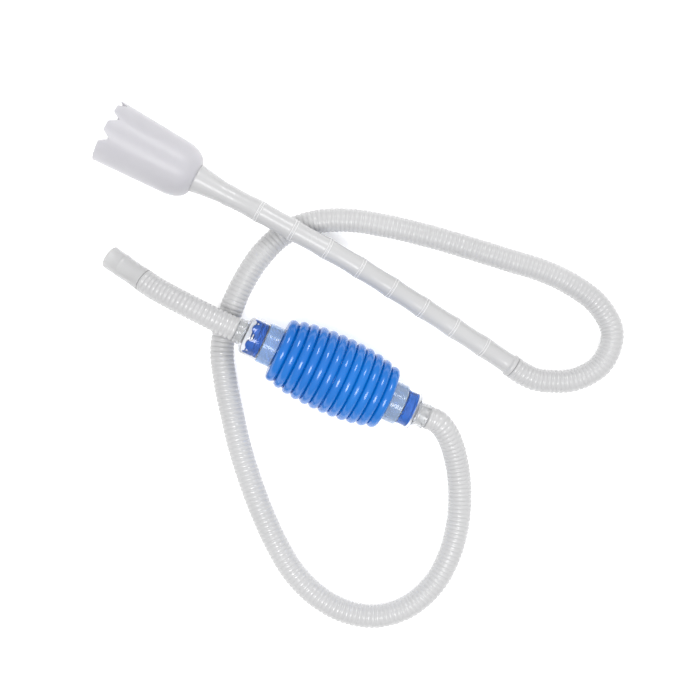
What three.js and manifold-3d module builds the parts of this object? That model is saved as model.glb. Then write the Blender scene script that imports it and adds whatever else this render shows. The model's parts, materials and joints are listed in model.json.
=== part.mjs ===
// Gravel vacuum siphon: a bell nozzle on a stiff wand, a ribbed hose, a squeeze bellows
// with a check valve in each screw cap, and an outlet hose that ends in a smooth spout.
// Units are millimetres, +Z is up and the siphon lies on the plane z = 0.
// +X runs along the pump's axis, from the outlet end to the inlet end; water flows to -X.
import * as THREE from 'three';
import { mergeVertices } from 'three/addons/utils/BufferGeometryUtils.js';
import Module from 'manifold-3d';

const wasm = await Module();
wasm.setup();

// ---- Driving dimensions ----------------------------------------------------------------

const GAP = 0.3;                 // kept between touching pieces
const ROUND = 24;                // sides of a turned piece

// Hose, the same ribbed tube on both sides of the pump
const HOSE_R = 10;
const HOSE_WALL = 1.5;
const HOSE_SIDES = 8;
const MAIN_HOSE_STEPS = 52;
const OUTLET_HOSE_STEPS = 8;
const FLOOR_LIFT = 0.05;         // keeps the hose's lowest edge above z = 0

// Pump bellows: a barrel of ribs with a threaded neck at each end
const PUMP_X = 53.8;
const PUMP_Y = -47.4;
const RIBS = 12;
const RIB_PITCH = 8.25;
const BELLY_R = 32.8;            // rib crest at mid length
const END_RIB_R = 26.9;          // rib crest at each end
const BARREL_POWER = 2.4;        // how full the barrel is; 2 would be a parabola
const RIB_DEPTH = 3;
const BELLOWS_WALL = 1.2;
const CREST_WALL = 1.7;          // a rib is a little thicker at its crest
const CREST_HALF = 2.2;          // half the width of a rib's crest
const BELLOWS_SIDES = 20;
const BELLOWS_HALF = RIBS * RIB_PITCH / 2;
const PUMP_Z = BELLY_R;
const NECK_R = 14.6;
const NECK_BORE = 12.1;
const NECK_LENGTH = 12;

// Screw caps; lengths are measured outward from the bellows' end face
const COLLAR_START = 0.8;
const COLLAR_END = 12.6;
const COLLAR_R = 17.15;
const COLLAR_BORE = 15.1;
const CHAMBER_R = 16.1;
const CHAMBER_BORE = 14.95;
const DOME_END_R = 10.8;
const DOME_WALL = 1.3;
const DOME_STEPS = 4;
const DOME_FLOOR_R = 8.3;        // inside, where the dome meets its nipple
const BORE_STEP_START = 12;      // from here the collar's bore narrows to the chamber's
const BORE_STEP_END = 12.2;
const NIPPLE_R = 8;
const NIPPLE_BORE = 6.3;
const NIPPLE_SHORT = 1;          // the nipple ends this far inside its cuff
const CUFF_R = 10.8;
const CUFF_LIP_R = 10.4;
const CUFF_LIP = 0.8;
const CUFF_TAPER = 1.4;
const INLET_END = { side: 1, chamberEnd: 22.8, domeEnd: 26.6, cuffEnd: 36.4 };
const OUTLET_END = { side: -1, chamberEnd: 24.8, domeEnd: 30.0, cuffEnd: 36.6 };

// Check valves inside the caps
const WASHER_START = NECK_LENGTH + GAP;
const WASHER_THICK = 1;
const WASHER_R = 14.6;
const WASHER_BORE = 12.1;
const SEAT_START = WASHER_START + WASHER_THICK + GAP;
const SEAT_R = 14.6;
const SEAT_WALL = 1.6;
const SEAT_WEB = 2;
const SEAT_HOLE = 6.5;
const INLET_SEAT_LENGTH = 9;
const OUTLET_SEAT_LENGTH = 5;
const DISC_R = 9.3;
const DISC_THICK = 1.2;
const BOSS_R = 4;                // the disc's boss, on its upstream side
const BOSS_TIP_R = 3.2;
const BOSS_THICK = 1;
const CAGE_WALL = 1.6;
const CAGE_BAND = 2.4;           // closed ring at the foot of a cage
const CAGE_STOP = 3.9;           // from the cage's foot to the bars that stop the disc
const CAGE_BAR = 1.2;
const CAGE_BAR_WIDTH = 1.8;
const INLET_CAGE = { radius: 11.7, length: 7.2, lobes: 4, lobeWidth: 8 };
const OUTLET_CAGE = { radius: 14.4, length: 6.6, lobes: 6, lobeWidth: 10.5 };

// Bell nozzle
const NOZZLE_RIM_X = -192.6;
const NOZZLE_RIM_Y = 54.2;
const NOZZLE_TURN = 3.0;         // degrees between the nozzle's axis and the X axis
const NOZZLE_Z = 25.92;
const RIM_R = 26.2;
const SHOULDER_R = 23.2;
const BELL_LENGTH = 59;          // rim to shoulder
const NOZZLE_LENGTH = 79.4;      // rim to the root of the nipple
const NOZZLE_ROOT_R = 12;
const NOZZLE_WALL = 1.5;
const NOZZLE_BORE = 5.9;
const NOZZLE_SIDES = 36;
const NOZZLE_DOME_STEPS = 6;
const NOTCH_WIDTH = 9.3;
const NOTCH_DEPTH = 7;
// Two groups of three notches, in degrees from the top towards -Y
const NOTCH_ANGLES = [-64, -24, 16, 116, 156, 196];
// The nozzle's nipple, as radius at distance from its root
const NIPPLE_LENGTH = 22;
const NIPPLE_MIDDLE = 12;
const NIPPLE_ROOT_R = 10.1;
const NIPPLE_MIDDLE_R = 8.5;
const NIPPLE_TIP_R = 7.4;

// Wand
const WAND_R = 8.5;
const WAND_BORE = 7.3;
const WAND_SIDES = 12;
const WAND_RING_R = 9.15;
const WAND_RING_PITCH = 31.3;
const WAND_RINGS = 8;
const WAND_RING_HALF = 1.6;
const WAND_COLLAR_LENGTH = 3;
const WAND_CUFF_LENGTH = 29;
const WAND_CUFF_R = 12;
const WAND_CUFF_WAIST = [10.25, 12.5];
const WAND_CUFF_NECK_R = 9.1;
const WAND_CUFF_CLEARANCE = 0.6; // between the nozzle's nipple and the cuff around it
const WAND_STATION = 14;         // spacing of the plain stations along the wand

// Spout
const SPOUT_LENGTH = 35;
const SPOUT_R = 9.75;
const SPOUT_WAIST_R = 9.3;
const SPOUT_WALL = 1.6;
const SPOUT_RING_AT = 13;        // from the mouth
const SPOUT_RING_HALF = 1.2;
const SPOUT_GROOVE = 0.25;       // depth of the surface beside the ring
const SPOUT_WAIST_AT = 27;       // from the mouth
const MOUTH_X = -150.2;
const MOUTH_Y = -37.3;
const SPOUT_TURN = 9.6;          // degrees from -X towards +Y
const SPOUT_DIP = 16.5;          // degrees below level, so that the mouth's edge meets z = 0

// Routes of the tubes' middle lines
const OUTLET_STRAIGHT = 14;      // the outlet hose leaves its cuff straight
const WAND_ROUTE = [
  [-57, 47.3, 28.2], [-29, 45.4, 29.8], [-1, 43.7, 29.2], [27, 41.6, 26.9], [55, 38.8, 23.9],
  [82.5, 35.6, 20.6], [110.5, 32.2, 17.2], [138, 28.7, 14], [162, 25.6, 11.4], [181, 22.9, 10.15],
  [192.4, 21, 10.1],
];
const MAIN_ROUTE = [
  [214, 19.5], [226, 23], [246, 34], [261, 56], [258, 83], [237, 99], [209, 105], [181, 105],
  [153, 101], [125, 97], [98, 93], [70, 88], [43, 82], [16, 74], [-9, 61], [-29, 41],
  [-39, 16], [-43, -12], [-42, -40], [-36, -67], [-22, -91], [-5, -114], [12, -136], [31, -157],
  [51, -177], [73, -196], [96, -212], [121, -222], [149, -225], [176, -218], [197, -200],
  [209, -174], [211, -147, 10.1], [206, -119, 11], [196, -95, 14.8], [181, -72, 21.5],
  [163.5, -54.5, 29.6],
];
const OUTLET_ROUTE = [
  [-59.5, -47, 32.2], [-73, -46.5, 30.7], [-83.5, -46.1, 28.8], [-94.5, -45.5, 26],
];

const COLOURS = {
  bellows: 0x2f72c9,
  valve: 0x2c5fb4,
  clear: 0xc3d4e8,
  frosted: 0xdadadf,
  wand: 0xd3d4d9,
  hose: 0xdcdcde,
  rubber: 0x8d9299,
};

// ---- Helpers ---------------------------------------------------------------------------

const group = new THREE.Group();

function addPiece(parent, name, geometry, colour, roughness) {
  const material = new THREE.MeshStandardMaterial({ color: colour, roughness, metalness: 0 });
  const mesh = new THREE.Mesh(geometry, material);
  mesh.name = name;
  parent.add(mesh);
  return mesh;
}

function weld(geometry) {
  geometry.deleteAttribute('normal');
  geometry.deleteAttribute('uv');
  return mergeVertices(geometry, 1e-4);
}

// Turns a closed outline of [radius, height] points about the Y axis
function turned(outline, sides = ROUND) {
  const points = [...outline, outline[0]].map(([r, y]) => new THREE.Vector2(r, y));
  return weld(new THREE.LatheGeometry(points, sides));
}

function toSolid(geometry) {
  const vertProperties = new Float32Array(geometry.attributes.position.array);
  const triVerts = new Uint32Array(geometry.index.array);
  return new wasm.Manifold(new wasm.Mesh({ numProp: 3, vertProperties, triVerts }));
}

function toGeometry(solid) {
  const mesh = solid.getMesh();
  const geometry = new THREE.BufferGeometry();
  geometry.setAttribute('position', new THREE.BufferAttribute(mesh.vertProperties, 3));
  geometry.setIndex(new THREE.BufferAttribute(mesh.triVerts, 1));
  return geometry;
}

// A flat outline in the (across, height) plane, made into a radial prism around the Y axis
function radialPrism(shape, innerR, outerR, turn) {
  const depth = outerR - innerR;
  const geometry = new THREE.ExtrudeGeometry(shape, { depth, bevelEnabled: false, curveSegments: 6 });
  geometry.translate(0, 0, innerR);
  geometry.rotateY(turn);
  return toSolid(weld(geometry));
}

function vectors(points, defaultZ) {
  return points.map(([x, y, z = defaultZ]) => new THREE.Vector3(x, y, z));
}

function smoothPath(points) {
  const path = new THREE.CatmullRomCurve3(points, false, 'centripetal');
  path.arcLengthDivisions = 600;
  return path;
}

// A plain hose solid along a path
function hoseGeometry(path, steps) {
  const section = new THREE.Shape();
  section.absarc(0, 0, HOSE_R, 0, Math.PI * 2);
  const bore = new THREE.Path();
  bore.absarc(0, 0, HOSE_R - HOSE_WALL, 0, Math.PI * 2, true);
  section.holes.push(bore);
  return weld(new THREE.ExtrudeGeometry(section, {
    steps,
    extrudePath: path,
    curveSegments: HOSE_SIDES / 2,
  }));
}

// Lays a straight piece, turned about the Y axis from y = 0, along a path
function laidAlong(geometry, path) {
  const length = path.getLength();
  const position = geometry.attributes.position;
  const up = new THREE.Vector3(0, 0, 1);
  for (let i = 0; i < position.count; i += 1) {
    const t = THREE.MathUtils.clamp(position.getY(i) / length, 0, 1);
    const tangent = path.getTangentAt(t);
    const side = new THREE.Vector3().crossVectors(tangent, up).normalize();
    const rise = new THREE.Vector3().crossVectors(side, tangent);
    const place = path.getPointAt(t)
      .addScaledVector(side, position.getX(i))
      .addScaledVector(rise, position.getZ(i));
    position.setXYZ(i, place.x, place.y, place.z);
  }
  return geometry;
}

// ---- Bellows ---------------------------------------------------------------------------

function ribCrest(x) {
  const share = Math.min(Math.abs(x) / (BELLOWS_HALF - RIB_PITCH / 2), 1);
  return BELLY_R - (BELLY_R - END_RIB_R) * share ** BARREL_POWER;
}

function bellowsGeometry() {
  const outer = [];
  const inner = [];
  for (let i = 0; i < RIBS; i += 1) {
    const x = (i - (RIBS - 1) / 2) * RIB_PITCH;
    const crest = ribCrest(x);
    const valleyX = x - RIB_PITCH / 2;
    const valley = ribCrest(valleyX) - RIB_DEPTH;
    outer.push([valley, valleyX], [crest, x - CREST_HALF], [crest, x + CREST_HALF]);
    inner.push([valley - BELLOWS_WALL, valleyX], [crest - CREST_WALL, x]);
  }
  const endR = END_RIB_R - RIB_DEPTH;
  const neckTip = BELLOWS_HALF + NECK_LENGTH;
  outer[0] = [endR, -BELLOWS_HALF];
  inner[0] = [endR - BELLOWS_WALL, BELLOWS_WALL - BELLOWS_HALF];
  const outline = [
    [NECK_BORE, -neckTip], [NECK_R, -neckTip], [NECK_R, -BELLOWS_HALF],
    ...outer,
    [endR, BELLOWS_HALF], [NECK_R, BELLOWS_HALF], [NECK_R, neckTip], [NECK_BORE, neckTip],
    [NECK_BORE, BELLOWS_HALF - BELLOWS_WALL],
    [endR - BELLOWS_WALL, BELLOWS_HALF - BELLOWS_WALL],
    ...inner.reverse(),
    [NECK_BORE, BELLOWS_WALL - BELLOWS_HALF],
  ];
  return turned(outline, BELLOWS_SIDES);
}

// ---- Caps, washers and hose cuffs --------------------------------------------------------

function capGeometry({ chamberEnd, domeEnd, cuffEnd }) {
  const dome = [];
  const domeBore = [];
  for (let i = 0; i <= DOME_STEPS; i += 1) {
    const turn = (i / DOME_STEPS) * Math.PI / 2;
    const outerR = DOME_END_R + (CHAMBER_R - DOME_END_R) * Math.cos(turn);
    dome.push([outerR, chamberEnd + (domeEnd - chamberEnd) * Math.sin(turn)]);
    if (i < DOME_STEPS) {
      const boreDepth = domeEnd - DOME_WALL - chamberEnd;
      const boreR = DOME_FLOOR_R + (CHAMBER_BORE - DOME_FLOOR_R) * Math.cos(turn);
      domeBore.push([boreR, chamberEnd + boreDepth * Math.sin(turn)]);
    }
  }
  const nippleEnd = cuffEnd - NIPPLE_SHORT;
  return turned([
    [COLLAR_BORE, COLLAR_START], [COLLAR_R, COLLAR_START], [COLLAR_R, COLLAR_END],
    [CHAMBER_R, COLLAR_END], ...dome,
    [NIPPLE_R, domeEnd], [NIPPLE_R, nippleEnd], [NIPPLE_BORE, nippleEnd],
    [NIPPLE_BORE, domeEnd - DOME_WALL], ...domeBore.reverse(),
    [CHAMBER_BORE, BORE_STEP_END], [COLLAR_BORE, BORE_STEP_START],
  ]);
}

function washerGeometry() {
  const end = WASHER_START + WASHER_THICK;
  return turned([
    [WASHER_BORE, WASHER_START], [WASHER_R, WASHER_START], [WASHER_R, end], [WASHER_BORE, end],
  ]);
}

function cuffGeometry({ domeEnd, cuffEnd }) {
  const bore = NIPPLE_R + GAP;
  const start = domeEnd + GAP;
  return turned([
    [bore, start], [CUFF_LIP_R, start], [CUFF_R, start + CUFF_LIP], [CUFF_R, cuffEnd - CUFF_TAPER],
    [HOSE_R, cuffEnd], [bore, cuffEnd],
  ]);
}

// ---- Valves ----------------------------------------------------------------------------
// A valve piece is drawn with its upstream face at y = 0 and the flow towards +y

function seatGeometry(length) {
  const webStart = length - SEAT_WEB;
  const bore = SEAT_R - SEAT_WALL;
  return turned([
    [bore, 0], [SEAT_R, 0], [SEAT_R, length], [SEAT_HOLE, length],
    [SEAT_HOLE, webStart], [bore, webStart],
  ]);
}

function discGeometry() {
  const points = [
    [0, -BOSS_THICK], [BOSS_TIP_R, -BOSS_THICK], [BOSS_R, 0],
    [DISC_R, 0], [DISC_R, DISC_THICK], [0, DISC_THICK],
  ].map(([r, y]) => new THREE.Vector2(r, y));
  return weld(new THREE.LatheGeometry(points, ROUND));
}

function lobeShape(width, length) {
  const half = width / 2;
  const shape = new THREE.Shape();
  shape.moveTo(-half, GAP);
  shape.lineTo(half, GAP);
  shape.lineTo(half, length - half);
  shape.absarc(0, length - half, half, 0, Math.PI);
  shape.closePath();
  return shape;
}

function cageGeometry({ radius, length, lobes, lobeWidth }) {
  const innerR = radius - CAGE_WALL;
  const tube = toSolid(turned([[innerR, 0], [radius, 0], [radius, length], [innerR, length]]));
  const past = CAGE_WALL;        // how far the cutting shapes reach past the wall
  const band = new THREE.CylinderGeometry(radius + past, radius + past, CAGE_BAND, ROUND);
  let keep = toSolid(weld(band.translate(0, CAGE_BAND / 2, 0)));
  for (let i = 0; i < lobes; i += 1) {
    const turn = ((i + 0.5) / lobes) * Math.PI * 2;
    keep = keep.add(radialPrism(lobeShape(lobeWidth, length), innerR - past, radius + past, turn));
  }
  let cage = tube.intersect(keep);
  const bars = lobes / 2;
  for (let i = 0; i < bars; i += 1) {
    const bar = new THREE.BoxGeometry(CAGE_BAR_WIDTH, CAGE_BAR, innerR + radius)
      .translate(0, CAGE_STOP + CAGE_BAR / 2, 0)
      .rotateY(((i + 0.5) / bars) * Math.PI);
    cage = cage.add(toSolid(weld(bar)));
  }
  return toGeometry(cage);
}

// ---- Nozzle, wand and spout ---------------------------------------------------------------
// The nozzle is drawn from its rim at y = 0 to the tip of its nipple

function nozzleGeometry() {
  const domeLength = NOZZLE_LENGTH - BELL_LENGTH;
  const shoulderBore = SHOULDER_R - NOZZLE_WALL;
  const floorR = NOZZLE_BORE + NOZZLE_WALL;
  const dome = [];
  const domeBore = [];
  for (let i = 0; i <= NOZZLE_DOME_STEPS; i += 1) {
    const turn = (i / NOZZLE_DOME_STEPS) * Math.PI / 2;
    const outerR = NOZZLE_ROOT_R + (SHOULDER_R - NOZZLE_ROOT_R) * Math.cos(turn);
    dome.push([outerR, BELL_LENGTH + domeLength * Math.sin(turn)]);
    if (i < NOZZLE_DOME_STEPS) {
      const boreR = floorR + (shoulderBore - floorR) * Math.cos(turn);
      domeBore.push([boreR, BELL_LENGTH + (domeLength - NOZZLE_WALL) * Math.sin(turn)]);
    }
  }
  const tip = NOZZLE_LENGTH + NIPPLE_LENGTH;
  const bell = toSolid(turned([
    [RIM_R - NOZZLE_WALL, 0], [RIM_R, 0],
    ...dome,
    [NIPPLE_ROOT_R, NOZZLE_LENGTH], [NIPPLE_MIDDLE_R, NOZZLE_LENGTH + NIPPLE_MIDDLE],
    [NIPPLE_TIP_R, tip], [NOZZLE_BORE, tip],
    [NOZZLE_BORE, NOZZLE_LENGTH - NOZZLE_WALL], ...domeBore.reverse(),
  ], NOZZLE_SIDES));
  // A V that keeps its slope down to just below the rim
  const below = 1;
  const halfBelow = (NOTCH_WIDTH / 2) * (1 + below / NOTCH_DEPTH);
  const notch = new THREE.Shape([
    new THREE.Vector2(-halfBelow, -below),
    new THREE.Vector2(halfBelow, -below),
    new THREE.Vector2(0, NOTCH_DEPTH),
  ]);
  const reach = 3 * NOZZLE_WALL;
  let nozzle = bell;
  for (const degrees of NOTCH_ANGLES) {
    const turn = THREE.MathUtils.degToRad(degrees);
    nozzle = nozzle.subtract(radialPrism(notch, RIM_R - reach, RIM_R + reach, turn));
  }
  return toGeometry(nozzle);
}

function wandOutline(length) {
  const bore = [
    [WAND_BORE, WAND_CUFF_LENGTH],
    [NIPPLE_TIP_R + WAND_CUFF_CLEARANCE, NIPPLE_LENGTH],
    [NIPPLE_MIDDLE_R + WAND_CUFF_CLEARANCE, NIPPLE_MIDDLE],
    [NIPPLE_ROOT_R + WAND_CUFF_CLEARANCE, GAP],
  ];
  const outer = [[WAND_CUFF_R, GAP], WAND_CUFF_WAIST, [WAND_CUFF_NECK_R, NIPPLE_LENGTH]];
  const firstRing = length - WAND_RINGS * WAND_RING_PITCH;
  for (let i = 0; i < WAND_RINGS; i += 1) {
    const middle = firstRing + i * WAND_RING_PITCH;
    if (i > 0) {
      outer.push([WAND_R, middle - WAND_RING_PITCH / 2]);
    } else {
      outer.push([WAND_R, WAND_CUFF_LENGTH], [WAND_R, (middle + WAND_CUFF_LENGTH) / 2]);
    }
    outer.push(
      [WAND_R, middle - WAND_RING_HALF], [WAND_RING_R, middle - WAND_RING_HALF / 2],
      [WAND_RING_R, middle + WAND_RING_HALF / 2], [WAND_R, middle + WAND_RING_HALF],
    );
  }
  const collarStart = length - WAND_COLLAR_LENGTH;
  const collarFoot = collarStart - (HOSE_R - WAND_R);
  outer.push(
    [WAND_R, length - WAND_RING_PITCH / 2], [WAND_R, collarFoot],
    [HOSE_R, collarStart], [HOSE_R, length],
  );
  const boreStations = [];
  const count = Math.floor((length - WAND_CUFF_LENGTH) / WAND_STATION);
  for (let i = count; i > 0; i -= 1) {
    boreStations.push([WAND_BORE, WAND_CUFF_LENGTH + (i / count) * (length - WAND_CUFF_LENGTH)]);
  }
  return [...outer, ...boreStations, ...bore];
}

function spoutGeometry() {
  const bore = SPOUT_R - SPOUT_WALL;
  const waist = SPOUT_LENGTH - SPOUT_WAIST_AT;
  const ring = SPOUT_LENGTH - SPOUT_RING_AT;
  return turned([
    [SPOUT_R, GAP], [SPOUT_WAIST_R, waist],
    [SPOUT_R - SPOUT_GROOVE, ring - SPOUT_RING_HALF], [SPOUT_R, ring],
    [SPOUT_R - SPOUT_GROOVE, ring + SPOUT_RING_HALF], [SPOUT_R, SPOUT_LENGTH],
    [bore, SPOUT_LENGTH], [bore, GAP],
  ]);
}

// ---- Assembly --------------------------------------------------------------------------

// The pump group's own +Y is the part's +X
const pump = new THREE.Group();
pump.position.set(PUMP_X, PUMP_Y, PUMP_Z);
pump.rotation.z = -Math.PI / 2;
group.add(pump);
addPiece(pump, 'bellows', bellowsGeometry(), COLOURS.bellows, 0.25);

// Each end group's +Y points outward and its origin lies on the bellows' end face
function pumpEnd({ side }) {
  const end = new THREE.Group();
  end.position.y = side * BELLOWS_HALF;
  end.rotation.z = side > 0 ? 0 : Math.PI;
  pump.add(end);
  return end;
}

function addEndPieces(end, prefix, place) {
  addPiece(end, `${prefix}_cap`, capGeometry(place), COLOURS.clear, 0.2);
  addPiece(end, `${prefix}_seal_washer`, washerGeometry(), COLOURS.rubber, 0.7);
  addPiece(end, `${prefix}_hose_cuff`, cuffGeometry(place), COLOURS.hose, 0.4);
}

const inletEnd = pumpEnd(INLET_END);
addEndPieces(inletEnd, 'inlet', INLET_END);
// Inlet valve: the flow enters the pump, so its pieces are turned to point inward
const inletValve = new THREE.Group();
inletValve.position.y = SEAT_START + INLET_SEAT_LENGTH;
inletValve.rotation.z = Math.PI;
inletEnd.add(inletValve);

const outletEnd = pumpEnd(OUTLET_END);
addEndPieces(outletEnd, 'outlet', OUTLET_END);
const outletValve = new THREE.Group();
outletValve.position.y = SEAT_START;
outletEnd.add(outletValve);

function addValve(valve, prefix, seatLength, cage) {
  addPiece(valve, `${prefix}_valve_seat`, seatGeometry(seatLength), COLOURS.valve, 0.35);
  addPiece(valve, `${prefix}_valve_disc`, discGeometry(), COLOURS.rubber, 0.6)
    .position.y = seatLength + GAP;
  addPiece(valve, `${prefix}_valve_cage`, cageGeometry(cage), COLOURS.valve, 0.35)
    .position.y = seatLength + GAP;
}
addValve(inletValve, 'inlet', INLET_SEAT_LENGTH, INLET_CAGE);
addValve(outletValve, 'outlet', OUTLET_SEAT_LENGTH, OUTLET_CAGE);

const nozzle = addPiece(group, 'suction_nozzle', nozzleGeometry(), COLOURS.frosted, 0.35);
nozzle.position.set(NOZZLE_RIM_X, NOZZLE_RIM_Y, NOZZLE_Z);
nozzle.rotation.z = -Math.PI / 2 - THREE.MathUtils.degToRad(NOZZLE_TURN);

// The wand starts at the nipple's root and stays in line with the nozzle through its cuff
const nozzleAxis = new THREE.Vector3(0, 1, 0).applyQuaternion(nozzle.quaternion);
const wandRoot = nozzle.position.clone().addScaledVector(nozzleAxis, NOZZLE_LENGTH);
const cuffTip = wandRoot.clone().addScaledVector(nozzleAxis, WAND_CUFF_LENGTH);
const wandPath = smoothPath([wandRoot, cuffTip, ...vectors(WAND_ROUTE)]);
const wandGeometry = turned(wandOutline(wandPath.getLength()), WAND_SIDES);
addPiece(group, 'intake_wand', laidAlong(wandGeometry, wandPath), COLOURS.wand, 0.3);

// Where the hoses meet their cuffs, on the pump's axis
const inletHoseX = PUMP_X + BELLOWS_HALF + INLET_END.cuffEnd + GAP;
const outletHoseX = PUMP_X - BELLOWS_HALF - OUTLET_END.cuffEnd - GAP;
const onPumpAxis = (x) => new THREE.Vector3(x, PUMP_Y, PUMP_Z);

// The main hose leaves the wand's collar straight
const wandEnd = wandPath.getPointAt(1);
const wandAim = wandPath.getTangentAt(1);
const mainPath = smoothPath([
  wandEnd.clone().addScaledVector(wandAim, GAP),
  wandEnd.clone().addScaledVector(wandAim, HOSE_R),
  ...vectors(MAIN_ROUTE, HOSE_R + FLOOR_LIFT),
  onPumpAxis(inletHoseX + HOSE_R),
  onPumpAxis(inletHoseX),
]);
addPiece(group, 'main_hose', hoseGeometry(mainPath, MAIN_HOSE_STEPS), COLOURS.hose, 0.4);

// The spout leans on its mouth's lower edge, and the outlet hose runs straight into it
const dip = THREE.MathUtils.degToRad(SPOUT_DIP);
const turn = THREE.MathUtils.degToRad(SPOUT_TURN);
const spoutAim = new THREE.Vector3(
  -Math.cos(dip) * Math.cos(turn), Math.cos(dip) * Math.sin(turn), -Math.sin(dip),
);
const mouth = new THREE.Vector3(MOUTH_X, MOUTH_Y, SPOUT_R * Math.cos(dip));
const spoutRoot = mouth.clone().addScaledVector(spoutAim, -SPOUT_LENGTH);
const spout = addPiece(group, 'outlet_spout', spoutGeometry(), COLOURS.clear, 0.25);
spout.position.copy(spoutRoot);
spout.quaternion.setFromUnitVectors(new THREE.Vector3(0, 1, 0), spoutAim);

const outletPath = smoothPath([
  onPumpAxis(outletHoseX),
  onPumpAxis(outletHoseX - OUTLET_STRAIGHT),
  ...vectors(OUTLET_ROUTE),
  spoutRoot.clone().addScaledVector(spoutAim, -HOSE_R),
  spoutRoot,
]);
addPiece(group, 'outlet_hose', hoseGeometry(outletPath, OUTLET_HOSE_STEPS), COLOURS.hose, 0.4);

export default group;
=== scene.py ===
import json
import math

import bmesh
import bpy
import numpy as np
from mathutils import Matrix, Vector


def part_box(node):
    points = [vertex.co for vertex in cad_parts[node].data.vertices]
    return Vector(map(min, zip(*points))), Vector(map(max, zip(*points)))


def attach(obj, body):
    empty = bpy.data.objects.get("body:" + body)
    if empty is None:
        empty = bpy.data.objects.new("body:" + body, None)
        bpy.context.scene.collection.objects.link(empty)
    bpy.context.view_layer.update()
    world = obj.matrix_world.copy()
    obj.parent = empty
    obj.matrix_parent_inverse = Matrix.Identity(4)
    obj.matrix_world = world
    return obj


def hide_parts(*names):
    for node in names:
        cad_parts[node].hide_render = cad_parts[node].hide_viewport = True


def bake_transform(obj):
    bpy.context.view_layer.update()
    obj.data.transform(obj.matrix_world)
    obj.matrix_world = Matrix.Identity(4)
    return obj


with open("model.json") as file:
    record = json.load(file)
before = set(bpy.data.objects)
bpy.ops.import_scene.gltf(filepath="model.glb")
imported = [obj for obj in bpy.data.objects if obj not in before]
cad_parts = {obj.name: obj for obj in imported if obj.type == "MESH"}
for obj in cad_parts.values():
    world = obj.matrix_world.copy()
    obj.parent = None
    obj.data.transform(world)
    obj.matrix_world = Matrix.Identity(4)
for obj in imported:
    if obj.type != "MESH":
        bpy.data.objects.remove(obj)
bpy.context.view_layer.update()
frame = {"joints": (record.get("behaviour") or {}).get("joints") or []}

MM = 0.001
Z_UP = np.array([0.0, 0.0, 1.0])


def box_mm(node):
    low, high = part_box(node)
    return np.array(low) / MM, np.array(high) / MM


# ---- Camera ------------------------------------------------------------------------------
# The siphon is seen almost from above, from a little on the outlet's side, and turned in
# the picture so that the pump's axis runs down to the right.

CAMERA_DISTANCE = 1125 * MM
CAMERA_TILT = math.radians(6.0)
CAMERA_ROLL = math.radians(24.85)
CAMERA_AIM = Vector((62.0, -23.8, 0.0)) * MM
LENS_MM = 68.81
SENSOR_MM = 36.0


def add_camera():
    look = Vector((math.sin(CAMERA_TILT), 0, -math.cos(CAMERA_TILT)))
    across = Vector((math.cos(CAMERA_TILT), 0, math.sin(CAMERA_TILT)))
    c, s = math.cos(CAMERA_ROLL), math.sin(CAMERA_ROLL)
    right = c * across + s * Vector((0, 1, 0))
    up = -s * across + c * Vector((0, 1, 0))
    data = bpy.data.cameras.new("camera")
    data.lens = LENS_MM
    data.sensor_width = SENSOR_MM
    data.clip_start = 0.01
    data.clip_end = 20
    camera = bpy.data.objects.new("camera", data)
    axes = Matrix((right, up, -look)).transposed().to_4x4()
    camera.matrix_world = Matrix.Translation(CAMERA_AIM - CAMERA_DISTANCE * look) @ axes
    bpy.context.scene.collection.objects.link(camera)
    bpy.context.scene.camera = camera


# ---- Paths -------------------------------------------------------------------------------
# A path turns distances along itself into points, with a side and a rise direction at each.

TANGENT_REACH = 1.0              # how far each way a curve looks for its direction


def frames_for(points, tangents):
    tangents = tangents / np.linalg.norm(tangents, axis=1)[:, None]
    side = np.cross(tangents, Z_UP)
    side /= np.linalg.norm(side, axis=1)[:, None]
    return points, tangents, side, np.cross(side, tangents)


class Straight:
    def __init__(self, origin, aim):
        self.origin = np.array(origin, float)
        self.aim = np.array(aim, float) / np.linalg.norm(aim)

    def at(self, distances):
        distances = np.asarray(distances, float)
        points = self.origin + distances[:, None] * self.aim
        return frames_for(points, np.repeat(self.aim[None], len(distances), 0))


class Curved:
    """A centripetal Catmull-Rom curve through its points, measured along its length."""

    def __init__(self, points, per_span=60):
        knots = np.array(points, float)
        knots = np.vstack([2 * knots[0] - knots[1], knots, 2 * knots[-1] - knots[-2]])
        line = []
        for p0, p1, p2, p3 in zip(knots, knots[1:], knots[2:], knots[3:]):
            t1 = np.linalg.norm(p1 - p0) ** 0.5
            t2 = t1 + np.linalg.norm(p2 - p1) ** 0.5
            t3 = t2 + np.linalg.norm(p3 - p2) ** 0.5
            t = np.linspace(t1, t2, per_span, endpoint=False)[:, None]
            a1 = (t1 - t) / t1 * p0 + t / t1 * p1
            a2 = (t2 - t) / (t2 - t1) * p1 + (t - t1) / (t2 - t1) * p2
            a3 = (t3 - t) / (t3 - t2) * p2 + (t - t2) / (t3 - t2) * p3
            b1 = (t2 - t) / t2 * a1 + t / t2 * a2
            b2 = (t3 - t) / (t3 - t1) * a2 + (t - t1) / (t3 - t1) * a3
            line.append((t2 - t) / (t2 - t1) * b1 + (t - t1) / (t2 - t1) * b2)
        self.line = np.vstack([*line, knots[-2]])
        steps = np.linalg.norm(np.diff(self.line, axis=0), axis=1)
        self.run = np.concatenate([[0], np.cumsum(steps)])
        self.length = self.run[-1]

    def point(self, distances):
        columns = [np.interp(distances, self.run, self.line[:, k]) for k in range(3)]
        return np.stack(columns, 1)

    def at(self, distances):
        distances = np.asarray(distances, float)
        ahead = self.point(np.minimum(distances + TANGENT_REACH, self.length))
        behind = self.point(np.maximum(distances - TANGENT_REACH, 0))
        return frames_for(self.point(distances), ahead - behind)


# ---- Mesh building -------------------------------------------------------------------------


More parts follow.
